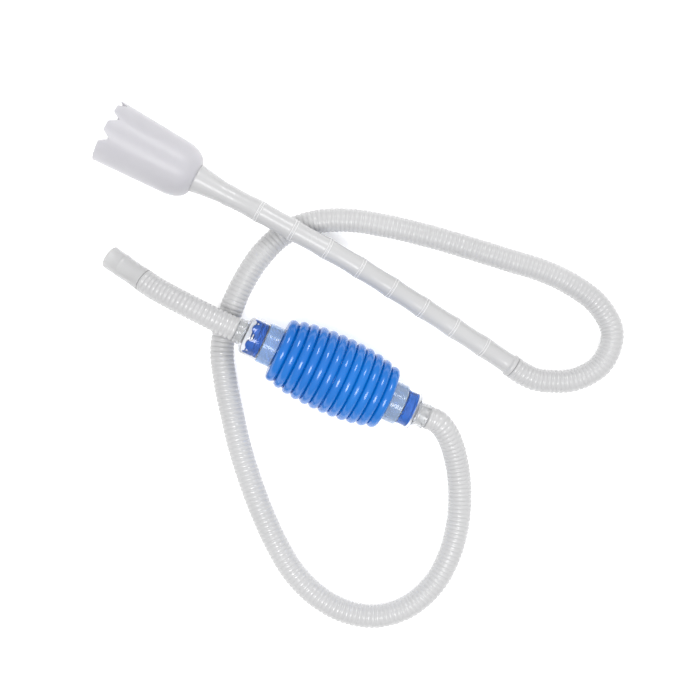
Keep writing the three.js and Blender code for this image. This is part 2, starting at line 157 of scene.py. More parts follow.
def build(name, vertices_mm, faces, sharp_degrees=35, merge=False):
    mesh = bpy.data.meshes.new(name)
    mesh.from_pydata((np.asarray(vertices_mm) * MM).tolist(), [], faces)
    work = bmesh.new()
    work.from_mesh(mesh)
    if merge:
        bmesh.ops.remove_doubles(work, verts=work.verts, dist=1e-7)
    bmesh.ops.recalc_face_normals(work, faces=work.faces)
    work.to_mesh(mesh)
    work.free()
    mesh.shade_smooth()
    mesh.set_sharp_from_angle(angle=math.radians(sharp_degrees))
    obj = bpy.data.objects.new(name, mesh)
    bpy.context.scene.collection.objects.link(obj)
    return obj


def turned(name, path, outline, sides=64, sharp_degrees=35, shape=None):
    """A closed outline of (radius, distance) points turned about a path.
    shape, if given, changes the radius and distance grids by angle."""
    outline = np.array(outline, float)
    angles = np.arange(sides) / sides * 2 * math.pi
    radius = np.repeat(outline[:, :1], sides, 1)
    distance = np.repeat(outline[:, 1:], sides, 1)
    if shape:
        radius, distance = shape(radius, distance, angles)
    rows = len(outline)
    points, _, side, rise = path.at(distance.ravel())
    turn = np.tile(angles, rows)[:, None]
    spokes = np.cos(turn) * rise + np.sin(turn) * side
    vertices = points + radius.ravel()[:, None] * spokes
    index = np.arange(rows * sides).reshape(rows, sides)
    along = np.roll(index, -1, 0)
    faces = np.stack([index, np.roll(index, -1, 1), np.roll(along, -1, 1), along], -1)
    on_axis = bool((outline[:, 0] < 1e-6).any())
    return build(name, vertices, faces.reshape(-1, 4).tolist(), sharp_degrees, merge=on_axis)


def arc(centre_r, centre_s, radius_r, radius_s, start, end, steps):
    """Points of an elliptical arc in the (radius, distance) plane; angles in degrees."""
    turns = np.radians(np.linspace(start, end, steps + 1))
    return [(centre_r + radius_r * math.cos(t), centre_s + radius_s * math.sin(t)) for t in turns]


def rounded(outline, radius, steps=3):
    """Rounds every corner of a closed outline of (radius, distance) points."""
    result = []
    count = len(outline)
    for i in range(count):
        before, corner, after = (np.array(outline[(i + k) % count], float) for k in (-1, 0, 1))
        back, ahead = before - corner, after - corner
        back_length, ahead_length = np.linalg.norm(back), np.linalg.norm(ahead)
        cut = min(radius, 0.45 * back_length, 0.45 * ahead_length)
        start = corner + back / back_length * cut
        end = corner + ahead / ahead_length * cut
        for t in np.linspace(0, 1, steps + 1):
            point = (1 - t) ** 2 * start + 2 * t * (1 - t) * corner + t * t * end
            result.append(tuple(point))
    return result


# ---- Routes of the tubes' middle lines, as in the CAD model ------------------------------------

HOSE_R = 10.0
HOSE_WALL = 1.1
HOSE_LIFT = 0.05
GAP = 0.3

NOZZLE_RIM = np.array([-192.6, 54.2, 25.92])
NOZZLE_LENGTH = 79.4
NIPPLE_LENGTH = 22.0
WAND_CUFF_LENGTH = 29.0
nozzle_pull = next(j for j in frame["joints"] if j["name"] == "nozzle_pull")
NOZZLE_AIM = -np.array(nozzle_pull["axis"], float)
NOZZLE_AIM /= np.linalg.norm(NOZZLE_AIM)

bellows_low, bellows_high = box_mm("bellows")
PUMP_AXIS_Y, PUMP_AXIS_Z = ((bellows_low + bellows_high) / 2)[1:]
inlet_cuff_end = box_mm("inlet_hose_cuff")[1][0]
outlet_cuff_end = box_mm("outlet_hose_cuff")[0][0]


def on_pump_axis(x):
    return np.array([x, PUMP_AXIS_Y, PUMP_AXIS_Z])


WAND_ROUTE = [
    [-57, 47.3, 28.2], [-29, 45.4, 29.8], [-1, 43.7, 29.2], [27, 41.6, 26.9], [55, 38.8, 23.9],
    [82.5, 35.6, 20.6], [110.5, 32.2, 17.2], [138, 28.7, 14], [162, 25.6, 11.4], [181, 22.9, 10.15],
    [192.4, 21, 10.1],
]
MAIN_ROUTE = [
    [214, 19.5], [226, 23], [246, 34], [261, 56], [258, 83], [237, 99], [209, 105], [181, 105],
    [153, 101], [125, 97], [98, 93], [70, 88], [43, 82], [16, 74], [-9, 61], [-29, 41],
    [-39, 16], [-43, -12], [-42, -40], [-36, -67], [-22, -91], [-5, -114], [12, -136], [31, -157],
    [51, -177], [73, -196], [96, -212], [121, -222], [149, -225], [176, -218], [197, -200],
    [209, -174], [211, -147, 10.1], [206, -119, 11], [196, -95, 14.8], [181, -72, 21.5],
    [163.5, -54.5, 29.6],
]
OUTLET_ROUTE = [
    [-59.5, -47, 32.2], [-73, -46.5, 30.7], [-83.5, -46.1, 28.8], [-94.5, -45.5, 26],
]
SPOUT_LENGTH = 35.0
SPOUT_R = 9.75
MOUTH_X, MOUTH_Y = -150.2, -37.3
SPOUT_TURN = math.radians(9.6)
SPOUT_DIP = math.radians(16.5)
SPOUT_AIM = np.array([
    -math.cos(SPOUT_DIP) * math.cos(SPOUT_TURN),
    math.cos(SPOUT_DIP) * math.sin(SPOUT_TURN),
    -math.sin(SPOUT_DIP),
])
MOUTH = np.array([MOUTH_X, MOUTH_Y, SPOUT_R * math.cos(SPOUT_DIP)])
SPOUT_ROOT = MOUTH - SPOUT_LENGTH * SPOUT_AIM

wand_root = NOZZLE_RIM + NOZZLE_LENGTH * NOZZLE_AIM
wand_path = Curved([wand_root, wand_root + WAND_CUFF_LENGTH * NOZZLE_AIM, *WAND_ROUTE])
wand_end, wand_aim = (part[0] for part in wand_path.at([wand_path.length])[:2])
main_path = Curved([
    wand_end + GAP * wand_aim,
    wand_end + HOSE_R * wand_aim,
    *[[*p, HOSE_R + HOSE_LIFT][:3] for p in MAIN_ROUTE],
    on_pump_axis(inlet_cuff_end + GAP + HOSE_R),
    on_pump_axis(inlet_cuff_end + GAP),
])
outlet_path = Curved([
    on_pump_axis(outlet_cuff_end - GAP),
    on_pump_axis(outlet_cuff_end - GAP - 1.4 * HOSE_R),
    *OUTLET_ROUTE,
    SPOUT_ROOT - HOSE_R * SPOUT_AIM,
    SPOUT_ROOT,
])


# ---- Materials ---------------------------------------------------------------------------

NOISE_LOW, NOISE_HIGH = 0.3, 0.7     # the part of a noise's range that carries the change
TINT_SCALE = 12.0
GRAIN_SCALE = 60.0
GRAIN_HEIGHT = 0.002                 # in metres


def new_material(name):
    material = bpy.data.materials.new(name)
    material.use_nodes = True
    nodes = material.node_tree.nodes
    return material, nodes, material.node_tree.links, nodes["Principled BSDF"]


def plastic(name, colour, dark, settings, roughness, bump=0.02):
    """A moulded plastic: slow tint changes, fine grain and uneven gloss from noise."""
    material, nodes, links, shader = new_material(name)
    for socket, value in settings.items():
        shader.inputs[socket].default_value = value
    coordinates = nodes.new("ShaderNodeTexCoord")

    def noise(scale, detail):
        node = nodes.new("ShaderNodeTexNoise")
        node.inputs["Scale"].default_value = scale
        node.inputs["Detail"].default_value = detail
        links.new(coordinates.outputs["Object"], node.inputs["Vector"])
        return node.outputs["Fac"]

    def spread(fac, low, high):
        node = nodes.new("ShaderNodeMapRange")
        node.inputs["From Min"].default_value = NOISE_LOW
        node.inputs["From Max"].default_value = NOISE_HIGH
        node.inputs["To Min"].default_value = low
        node.inputs["To Max"].default_value = high
        links.new(fac, node.inputs["Value"])
        return node.outputs["Result"]

    tint = nodes.new("ShaderNodeMix")
    tint.data_type = "RGBA"
    tint.inputs["A"].default_value = (*dark, 1)
    tint.inputs["B"].default_value = (*colour, 1)
    links.new(spread(noise(TINT_SCALE, 3), 0, 1), tint.inputs["Factor"])
    links.new(tint.outputs["Result"], shader.inputs["Base Color"])
    links.new(spread(noise(TINT_SCALE * 3, 4), *roughness), shader.inputs["Roughness"])
    relief = nodes.new("ShaderNodeBump")
    relief.inputs["Strength"].default_value = bump
    relief.inputs["Distance"].default_value = GRAIN_HEIGHT
    links.new(noise(GRAIN_SCALE, 2), relief.inputs["Height"])
    links.new(relief.outputs["Normal"], shader.inputs["Normal"])
    return material


MATERIALS = {
    "bellows": plastic(
        "blue_bellows_plastic", (0.002, 0.15, 0.52), (0.001, 0.105, 0.43),
        {"IOR": 1.52, "Specular IOR Level": 0.55}, roughness=(0.15, 0.22), bump=0.08,
    ),
    "valve": plastic(
        "blue_valve_plastic", (0.001, 0.12, 0.56), (0.001, 0.095, 0.47), {"IOR": 1.4},
        roughness=(0.45, 0.6),
    ),
    "clear": plastic(
        "clear_cap_plastic", (0.88, 0.89, 0.9), (0.84, 0.85, 0.87),
        {"IOR": 1.06, "Transmission Weight": 1.0, "Coat Weight": 0.6, "Coat Roughness": 0.08},
        roughness=(0.1, 0.15),
    ),
    "outlet_collar": plastic(
        "hazy_blue_collar_plastic", (0.42, 0.59, 0.86), (0.34, 0.51, 0.8),
        {"IOR": 1.12, "Transmission Weight": 0.6, "Coat Weight": 1.0, "Coat Roughness": 0.08},
        roughness=(0.05, 0.1),
    ),
    "inlet_collar": plastic(
        "hazy_collar_plastic", (0.37, 0.48, 0.66), (0.31, 0.42, 0.61),
        {"IOR": 1.12, "Transmission Weight": 0.5, "Coat Weight": 1.0, "Coat Roughness": 0.08},
        roughness=(0.05, 0.1),
    ),
    "cuff": plastic(
        "translucent_cuff_plastic", (0.72, 0.73, 0.74), (0.66, 0.67, 0.68),
        {"IOR": 1.15, "Transmission Weight": 0.7, "Coat Weight": 1.0, "Coat Roughness": 0.08},
        roughness=(0.1, 0.2),
    ),
    "spout": plastic(
        "translucent_spout_plastic", (0.64, 0.64, 0.645), (0.58, 0.58, 0.585),
        {"IOR": 1.4, "Transmission Weight": 0.35}, roughness=(0.12, 0.25),
    ),
    "frosted": plastic(
        "frosted_nozzle_plastic", (0.455, 0.45, 0.475), (0.425, 0.42, 0.445),
        {
            "IOR": 1.35, "Subsurface Weight": 0.55, "Subsurface Scale": 0.004,
            "Subsurface Radius": (1, 1, 1),
        },
        roughness=(0.3, 0.38),
    ),
    "wand": plastic(
        "milky_wand_plastic", (0.525, 0.525, 0.53), (0.485, 0.485, 0.49),
        {"IOR": 1.4, "Transmission Weight": 0.12}, roughness=(0.2, 0.28), bump=0.03,
    ),
    # The pale ring colour is a painted highlight, lightening the wand's ridges where highlights
    # fall
    "ring": plastic(
        "ring_painted_highlight_plastic", (0.74, 0.74, 0.745), (0.68, 0.68, 0.685),
        {"IOR": 1.4, "Transmission Weight": 0.12}, roughness=(0.14, 0.2), bump=0.03,
    ),
    "hose": plastic(
        "milky_hose_plastic", (0.525, 0.525, 0.53), (0.485, 0.485, 0.49),
        {"IOR": 1.5, "Transmission Weight": 0.12}, roughness=(0.1, 0.16), bump=0.03,
    ),
    "rubber": plastic(
        "grey_seal_rubber", (0.36, 0.38, 0.4), (0.3, 0.32, 0.34), {"IOR": 1.45},
        roughness=(0.5, 0.65), bump=0.08,
    ),
}


def finish_piece(piece, node, material, body):
    """Gives a piece its material and its body, and hides the CAD node it stands for."""
    piece.data.materials.append(MATERIALS[material])
    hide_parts(node)
    if body:
        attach(piece, body)
    return piece


# ---- Hoses -------------------------------------------------------------------------------

HOSE_RIB_PITCH = 3.8
HOSE_RIB_DEPTH = 0.7
HOSE_VALLEY = 0.2                # a valley's half-width, as a share of the pitch
HOSE_STATIONS = 9                # outline points on each rib
HOSE_SIDES = 32


def ribbed_outline(length):
    """A hollow tube of whole ribs, with broad round crests and narrow valleys."""
    ribs = round(length / HOSE_RIB_PITCH)
    phase = np.linspace(0, ribs, ribs * HOSE_STATIONS + 1)
    from_valley = np.abs((phase + 0.5) % 1 - 0.5)
    groove = np.exp(-((from_valley / HOSE_VALLEY) ** 2))
    outer = HOSE_R - HOSE_RIB_DEPTH * groove
    distance = phase / ribs * length
    inner = outer - HOSE_WALL
    return [*zip(outer, distance), *zip(inner[::-1], distance[::-1])]


def add_hose(name, node, path, body):
    hose = turned(name, path, ribbed_outline(path.length), HOSE_SIDES, sharp_degrees=80)
    return finish_piece(hose, node, "hose", body)


# ---- Bellows -----------------------------------------------------------------------------

RIBS = 12
RIB_PITCH = 8.25
BELLOWS_HALF = RIBS * RIB_PITCH / 2
BELLY_R = 32.8
END_RIB_R = 26.9
BARREL_POWER = 2.4
RIB_DEPTH = 3.6
BELLOWS_WALL = 1.2
NECK_R = 14.1
NECK_BORE = 12.1
NECK_LENGTH = 12.0
NECK_LIP = 0.9
THREAD_PITCH = 4.0
THREAD_DEPTH = 0.5
THREAD_STEEPNESS = 1.8           # above 1, so that crests and roots are flat

PUMP_X = (bellows_low[0] + bellows_high[0]) / 2
pump_path = Straight(on_pump_axis(PUMP_X), (1, 0, 0))


def thread(distance, angles, hand=1):
    """Height from 0 to 1 of a right-hand trapezoid thread; hand is -1 where distance
    runs against the path that the angles turn about."""
    turn = 2 * math.pi * distance / THREAD_PITCH - hand * angles
    return 0.5 + 0.5 * np.clip(THREAD_STEEPNESS * np.cos(turn), -1, 1)


def rib_crest(x):
    share = min(abs(x) / (BELLOWS_HALF - RIB_PITCH / 2), 1)
    return BELLY_R - (BELLY_R - END_RIB_R) * share**BARREL_POWER


def rib_arc(x, depth, width, start, end, steps):
    """One rib's rounded outline between two angles, 0 and 180 being its valleys."""
    valley = rib_crest(x) - depth
    turns = np.radians(np.linspace(start, end, steps + 1))
    return [(valley + depth * math.sin(t), x - width * math.cos(t)) for t in turns]


def bellows_outline():
    half = RIB_PITCH / 2
    outer, inner = [], []
    for i in range(RIBS):
        x = (i - (RIBS - 1) / 2) * RIB_PITCH
        start = 0 if i == 0 else 9
        end = 180 if i == RIBS - 1 else 171
        outer += rib_arc(x, RIB_DEPTH, half, start, end, 12)
        inner += rib_arc(x, RIB_DEPTH - 0.6, half - 0.5, 20, 160, 6)
    inner = [(r - BELLOWS_WALL, x) for r, x in inner]
    tip = BELLOWS_HALF + NECK_LENGTH
    neck_steps = np.linspace(0, NECK_LENGTH - NECK_LIP, 34)
    left_neck = [(NECK_R, -tip + NECK_LIP + s) for s in neck_steps]
    right_neck = [(NECK_R, tip - NECK_LIP - s) for s in neck_steps[::-1]]
    end_r = outer[0][0]
    wall_x = BELLOWS_HALF - BELLOWS_WALL
    left_end = [(NECK_R + 0.4, -BELLOWS_HALF), (NECK_R + 1.6, -BELLOWS_HALF - 0.1)]
    right_end = [(r, -x) for r, x in left_end[::-1]]
    return [
        (NECK_BORE, -tip), (NECK_R - NECK_LIP, -tip), *left_neck, *left_end,
        (end_r - 1.5, -BELLOWS_HALF - 0.1), *outer, (end_r - 1.5, BELLOWS_HALF + 0.1),
        *right_end, *right_neck, (NECK_R - NECK_LIP, tip), (NECK_BORE, tip), (NECK_BORE, wall_x),
        *inner[::-1], (NECK_BORE, -wall_x),
    ]


def threaded_necks(radius, distance, angles):
    """Raises a right-hand thread on each neck, measured outward from the bellows' end."""
    on_neck = (np.abs(distance) > BELLOWS_HALF + 0.5) & (radius > NECK_R - 0.01)
    outward = np.abs(distance) - BELLOWS_HALF
    from_lip = NECK_LENGTH - NECK_LIP - outward
    fade = np.clip(np.minimum(outward - 0.5, from_lip) / 1.5, 0, 1)
    hand = np.sign(distance)
    ridge = thread(outward, angles, hand)
    return radius + np.where(on_neck, THREAD_DEPTH * fade * ridge, 0), distance


def add_bellows():
    piece = turned("ribbed_bellows", pump_path, bellows_outline(), 144, 40, threaded_necks)
    finish_piece(piece, "bellows", "bellows", None)
    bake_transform(piece)


# ---- Screw caps, cuffs and valves ------------------------------------------------------------
# Everything at an end of the pump is drawn outward from the bellows' end face.

COLLAR_START = 0.8
COLLAR_END = 12.6
COLLAR_R = 17.15
COLLAR_BORE = 15.1
COLLAR_LINES = 7
LINE_ROWS = 6                    # outline points on each line
LINE_DEPTH = 0.14
CHAMBER_R = 16.1
CHAMBER_BORE = 14.95
DOME_END_R = 10.8
DOME_FLOOR_R = 8.3
DOME_WALL = 1.3
NIPPLE_R = 8.0
NIPPLE_BORE = 6.3
SEAT_START = 13.6
SEAT_R = 14.6
SEAT_HOLE = 6.5
DISC_R = 9.3
BORE_THREAD_DEPTH = 0.45
CAGE_WALL = 1.6
CAGE_BAND = 2.4                  # the cage ring's height between its lobes
BAR_RISE = 3.9                   # how far the bars are from the cage's foot
BAR_THICK = 1.2
BAR_HALF_WIDTH = 0.9
WASHER_START = 12.3
WASHER_THICK = 1.0
WASHER_BORE = 12.1
WASHER_R = 14.6


class PumpEnd:
    def __init__(self, name, outward, chamber_end, dome_end, cuff_end, seat_length, valve_outward):
        self.name = name
        self.chamber_end = chamber_end
        self.dome_end = dome_end
        self.cuff_end = cuff_end
        self.seat_length = seat_length
        face = on_pump_axis(PUMP_X + outward * BELLOWS_HALF)
        self.path = Straight(face, (outward, 0, 0))
        foot = SEAT_START if valve_outward else SEAT_START + seat_length
        sign = 1 if valve_outward else -1
        self.valve_path = Straight(face + foot * self.path.aim, sign * self.path.aim)


INLET = PumpEnd("inlet", 1, 22.8, 26.6, 36.4, 9.0, False)
OUTLET = PumpEnd("outlet", -1, 24.8, 30.0, 36.6, 5.0, True)


def cap_outline(end):
    nipple_end = end.cuff_end - 1
    dome = arc(DOME_END_R, end.chamber_end, CHAMBER_R - DOME_END_R,
               end.dome_end - end.chamber_end, 0, 90, 12)
    depth = end.dome_end - DOME_WALL - end.chamber_end
    dome_bore = arc(DOME_FLOOR_R, end.chamber_end, CHAMBER_BORE - DOME_FLOOR_R, depth, 90, 0, 12)
    rows = np.linspace(COLLAR_START + 0.7, COLLAR_END - 0.7, LINE_ROWS * COLLAR_LINES + 1)
    ripple = 0.5 + 0.5 * np.cos(2 * math.pi * np.arange(len(rows)) / LINE_ROWS)
    collar = list(zip(COLLAR_R - LINE_DEPTH * (1 - ripple), rows))
    thread_bore = [(COLLAR_BORE, s) for s in np.linspace(COLLAR_END - 1, COLLAR_START + 0.6, 30)]
    return [
        (COLLAR_BORE + 0.5, COLLAR_START), (COLLAR_R - 0.6, COLLAR_START),
        (COLLAR_R - 0.15, COLLAR_START + 0.2), *collar, (COLLAR_R - 0.2, COLLAR_END - 0.2),
        (COLLAR_R - 0.6, COLLAR_END), (CHAMBER_R + 0.15, COLLAR_END + 0.05),
        (CHAMBER_R, COLLAR_END + 0.35),
        *dome,
        (NIPPLE_R + 0.3, end.dome_end), (NIPPLE_R, end.dome_end + 0.3),
        (NIPPLE_R, nipple_end - 0.5), (NIPPLE_R - 0.5, nipple_end),
        (NIPPLE_BORE + 0.3, nipple_end), (NIPPLE_BORE, nipple_end - 0.3),
        (NIPPLE_BORE, end.dome_end - DOME_WALL), *dome_bore,
        (CHAMBER_BORE, COLLAR_END - 0.4), (COLLAR_BORE, COLLAR_END - 0.8),
        *thread_bore,
    ]


def add_cap(end):
    def threaded_bore(radius, distance, angles):
        inside = np.abs(radius - COLLAR_BORE) < 0.01
        from_start = distance - COLLAR_START - 0.6
        fade = np.clip(np.minimum(from_start, COLLAR_END - 1 - distance), 0, 1)
        groove = thread(distance, angles)
        return radius + np.where(inside, BORE_THREAD_DEPTH * fade * (groove - 1), 0), distance

    piece = turned(f"threaded_{end.name}_cap", end.path, cap_outline(end), 112, 35, threaded_bore)
    finish_piece(piece, f"{end.name}_cap", "clear", f"{end.name}_cap")
    piece.data.materials.append(MATERIALS[f"{end.name}_collar"])
    for face in piece.data.polygons:
        outward = (Vector(face.center) / MM - Vector(end.path.origin)).dot(Vector(end.path.aim))
        if outward < COLLAR_END - 0.2:
            face.material_index = 1


def add_washer(end):
    washer_end = WASHER_START + WASHER_THICK
    outline = rounded([
        (WASHER_BORE, WASHER_START), (WASHER_R, WASHER_START),
        (WASHER_R, washer_end), (WASHER_BORE, washer_end),
    ], 0.35)
    piece = turned(f"{end.name}_silicone_washer", end.path, outline, 64, 50)
    body = "pump_body" if end is INLET else "outlet_neck"
    finish_piece(piece, f"{end.name}_seal_washer", "rubber", body)


def add_cuff(end):
    start = end.dome_end + GAP
    bore = NIPPLE_R + GAP
    outline = [
        (bore, start), (10.2, start), (10.6, start + 0.15), (10.8, start + 0.6),
        (10.8, start + 1.4), (10.35, start + 2.0), (10.35, end.cuff_end - 2.6),
        (10.6, end.cuff_end - 2.1), (10.6, end.cuff_end - 1.2), (10.1, end.cuff_end - 0.6),
        (9.3, end.cuff_end), (bore, end.cuff_end),
    ]
    piece = turned(f"{end.name}_smooth_cuff", end.path, outline, 64, 40)
    return finish_piece(piece, f"{end.name}_hose_cuff", "cuff", f"{end.name}_line")


def add_seat(end):
    length = end.seat_length
    outline = rounded([
        (12.8, 0), (SEAT_R, 0), (SEAT_R, 1.6), (SEAT_R - 0.5, 1.9), (SEAT_R - 0.5, length - 1.4),
        (SEAT_R, length - 1.1), (SEAT_R, length), (8.6, length), (SEAT_HOLE + 1.4, length),
        (SEAT_HOLE, length - 0.3), (SEAT_HOLE, length - 2), (12.8, length - 2),
    ], 0.3)
    piece = turned(f"{end.name}_seat_ring", end.valve_path, outline, 80, 40)
    finish_piece(piece, f"{end.name}_valve_seat", "valve", f"{end.name}_line")


def add_disc(end):
    face = end.seat_length + GAP
    outline = [
        (0, face - 1), (2.6, face - 1), (3.2, face - 0.8), (3.8, face - 0.1), (4.3, face),
        (DISC_R - 0.3, face), (DISC_R, face + 0.3), (DISC_R, face + 0.8),
        (DISC_R - 0.4, face + 1.2), (5.0, face + 1.2), (4.2, face + 1.0), (0, face + 1.0),
    ]
    piece = turned(f"{end.name}_flap_disc", end.valve_path, outline, 64, 50)
    finish_piece(piece, f"{end.name}_valve_disc", "rubber", f"{end.name}_disc")


def add_cage(end, radius, length, lobes, lobe_width):
    """A ring with round-ended lobes; its rim rises and falls around it as the lobes do."""
    foot = end.seat_length + GAP
    half = lobe_width / 2

    def lobed(r, s, angles):
        turn = (angles * lobes / (2 * math.pi)) % 1 - 0.5
        across = np.abs(turn) * 2 * math.pi / lobes * radius
        rise = np.sqrt(np.clip(1 - (across / half) ** 2, 0, 1))
        rim = np.maximum(CAGE_BAND, np.where(across < half, length - half + half * rise, 0))
        share = (s - foot) / length
        return r, foot + share * np.repeat(rim[None], len(s), 0)

    rows = np.linspace(0, 1, 9)
    inner, outer = radius - CAGE_WALL, radius
    outline = [
        *[(outer, foot + t * length) for t in rows[:-1]], (outer - 0.3, foot + length),
        (inner + 0.3, foot + length), *[(inner, foot + t * length) for t in rows[-2::-1]],
    ]
    ring = turned(f"{end.name}_lobed_cage", end.valve_path, outline, 48 * lobes, 35, lobed)
    bars = []
    for i in range(lobes // 2):
        turn = (i + 0.5) / (lobes // 2) * math.pi
        bars.append(add_bar(end.valve_path, turn, inner + 0.5, foot + BAR_RISE))
    joined = join([ring, *bars])
    finish_piece(joined, f"{end.name}_valve_cage", "valve", f"{end.name}_line")


def add_bar(path, turn, reach, start):
    """A rounded bar across a cage, from wall to wall."""
    half, thick = BAR_HALF_WIDTH, BAR_THICK
    points, aim, side, rise = (part[0] for part in path.at([start]))
    along = math.cos(turn) * rise + math.sin(turn) * side
    across = math.cos(turn) * side - math.sin(turn) * rise
    section = [
        (-half, 0.3), (-half + 0.3, 0), (half - 0.3, 0), (half, 0.3),
        (half, thick - 0.3), (half - 0.3, thick), (-half + 0.3, thick), (-half, thick - 0.3),
    ]
    count = len(section)
    rows = [points + r * along + u * across + w * aim for r in (-reach, reach) for u, w in section]
    faces = [(i, (i + 1) % count, count + (i + 1) % count, count + i) for i in range(count)]
    faces += [tuple(range(count)), tuple(range(2 * count - 1, count - 1, -1))]
    return build("bar", rows, faces)


def join(objects):
    first = objects[0]
    work = bmesh.new()
    for obj in objects:
        work.from_mesh(obj.data)
    work.to_mesh(first.data)
    work.free()
    for obj in objects[1:]:
        bpy.data.objects.remove(obj)
    first.data.shade_smooth()
    first.data.set_sharp_from_angle(angle=math.radians(35))
    return first


# ---- Nozzle, wand and spout -------------------------------------------------------------------

RIM_R = 26.2
SHOULDER_R = 23.2
BELL_LENGTH = 59.0
BELL_SLOPE = (RIM_R - SHOULDER_R) / BELL_LENGTH
NOZZLE_ROOT_R = 12.0
NOZZLE_WALL = 1.5
NOZZLE_BORE = 5.9
NOTCH_WIDTH = 9.3
NOTCH_DEPTH = 7.0
# Two groups of three notches, in degrees from the top towards -Y
NOTCH_ANGLES = [-64, -24, 16, 116, 156, 196]
NOTCH_ZONE = 16.0                # how far down the bell the notches bend its rows
NOTCH_ROUND = 0.45               # softens a notch's point
NOTCH_SHOULDER = 0.35            # softens its corners at the rim
NOZZLE_SIDES = 360

WAND_R = 8.4
SWELL = 0.5
WAND_BORE = 7.2
RING_LIFT = 0.45
RING_PITCH = 31.3
WAND_RINGS = 8
RIDGE_OFFSET = 1.15              # each ring is two ridges, this far to either side
RIDGE_WIDTH = 0.42
RIDGE_SPAN = 2.6                 # the ridges' close rows reach this far to either side
HIGHLIGHT_BAND_HALF = 0.4                  # half the width of a ridge's painted highlight band
RING_REACH = 4                   # plain tube begins this far from a ring's middle
WAND_STEP = 1.5
WAND_SIDES = 56


def notched(radius, distance, angles):
    """Pushes the rim's rows back into V notches with a small round at their points."""
    apart = angles[None] - np.radians(NOTCH_ANGLES)[:, None]
    across = RIM_R * np.abs((apart + math.pi) % (2 * math.pi) - math.pi).min(0)
    half = NOTCH_WIDTH / 2
    slope = NOTCH_DEPTH / half
    depth = NOTCH_DEPTH - slope * (np.sqrt(across**2 + NOTCH_ROUND**2) - NOTCH_ROUND)
    depth = 0.5 * (depth + np.sqrt(depth**2 + NOTCH_SHOULDER**2))
    shift = np.clip(1 - distance / NOTCH_ZONE, 0, 1) * depth[None]
    return radius - BELL_SLOPE * shift, distance + shift


def nozzle_outline():
    near_rim = np.array([0, 0.35, 1.2, 2.5, 4, 6, 8.5, 11.5, 15, NOTCH_ZONE])
    wall = [(RIM_R - BELL_SLOPE * s, s) for s in [*near_rim[1:], 22, 30, 38, 46, 53]]
    inner_wall = [(r - NOZZLE_WALL, s) for r, s in wall[::-1]]
    dome = arc(NOZZLE_ROOT_R, BELL_LENGTH, SHOULDER_R - NOZZLE_ROOT_R,
               NOZZLE_LENGTH - BELL_LENGTH, 0, 90, 24)
    floor_r = NOZZLE_BORE + NOZZLE_WALL
    dome_bore = arc(floor_r, BELL_LENGTH, SHOULDER_R - NOZZLE_WALL - floor_r,
                    NOZZLE_LENGTH - NOZZLE_WALL - BELL_LENGTH, 90, 0, 18)
    tip = NOZZLE_LENGTH + NIPPLE_LENGTH
    return [
        (RIM_R - 1.1, 0), (RIM_R - 0.35, 0), *wall, *dome,
        (10.1, NOZZLE_LENGTH + 0.2), (8.5, NOZZLE_LENGTH + 12), (7.4, tip - 0.4), (7.0, tip),
        (NOZZLE_BORE + 0.3, tip), (NOZZLE_BORE, tip - 0.3),
        (NOZZLE_BORE, NOZZLE_LENGTH - NOZZLE_WALL), *dome_bore, *inner_wall,
    ]


def add_nozzle():
    path = Straight(NOZZLE_RIM, NOZZLE_AIM)
    piece = turned("notched_bell_nozzle", path, nozzle_outline(), NOZZLE_SIDES, 35, notched)
    finish_piece(piece, "suction_nozzle", "frosted", "nozzle")


def swelling(from_ring):
    """The wand's radius at a distance from a ring, widest at the ring itself."""
    return WAND_R + SWELL * (0.5 + 0.5 * math.cos(2 * math.pi * from_ring / RING_PITCH)) ** 2


def ring_distances(length):
    return length - RING_PITCH * np.arange(WAND_RINGS, 0, -1)


def wand_outline(length):
    """The tube's outside, a little waisted between its double-ridged rings, then its bore."""
    cuff = [(11.9, 0.03), (12.0, 0.15), (12.0, 1.0), (11.8, 2.4), (11.25, 5.5), (10.7, 8.8),
            (10.25, 12.5), (9.75, 16), (9.3, 19.5), (8.9, 23), (8.6, 26)]
    outer = [*cuff]
    at = WAND_CUFF_LENGTH
    for middle in ring_distances(length):
        for s in np.arange(at, middle - RING_REACH, WAND_STEP):
            outer.append((swelling(s - middle), s))
        for s in np.linspace(-RIDGE_SPAN, RIDGE_SPAN, 27):
            lift = math.exp(-(((abs(s) - RIDGE_OFFSET) / RIDGE_WIDTH) ** 2))
            outer.append((swelling(s) + RING_LIFT * lift, middle + s))
        at = middle + RING_REACH
    collar = length - 3.0
    outer += [(swelling(s - middle), s) for s in np.arange(at, collar - 3, WAND_STEP)]
    outer += [
        (WAND_R, collar - 1.5), (WAND_R + 0.4, collar - 1.1), (9.6, collar - 0.3),
        (9.95, collar + 0.2), (10, collar + 0.8), (10, length - 0.8), (9.7, length - 0.2),
        (9.2, length),
    ]
    bore = [(WAND_BORE, s) for s in np.arange(length, WAND_CUFF_LENGTH, -3.5)]
    return [*outer, *bore, (8.0, 22), (9.1, 12), (10.7, 1.2), (10.9, GAP)]


def add_wand():
    outline = wand_outline(wand_path.length)
    piece = turned("ridged_intake_wand", wand_path, outline, WAND_SIDES, 50)
    finish_piece(piece, "intake_wand", "wand", "inlet_line")
    # Bands along each ridge take the pale ring material, a painted highlight on every ridge
    piece.data.materials.append(MATERIALS["ring"])
    rings = ring_distances(wand_path.length)
    distance = np.array([s for _, s in outline])
    nearest = np.abs(distance[:, None] - rings[None]).min(1)
    outside = np.array([r for r, _ in outline]) > WAND_R
    on_painted_highlight = outside & (np.abs(nearest - RIDGE_OFFSET) < HIGHLIGHT_BAND_HALF)
    for face in piece.data.polygons:
        face.material_index = int(all(on_painted_highlight[v // WAND_SIDES] for v in face.vertices))


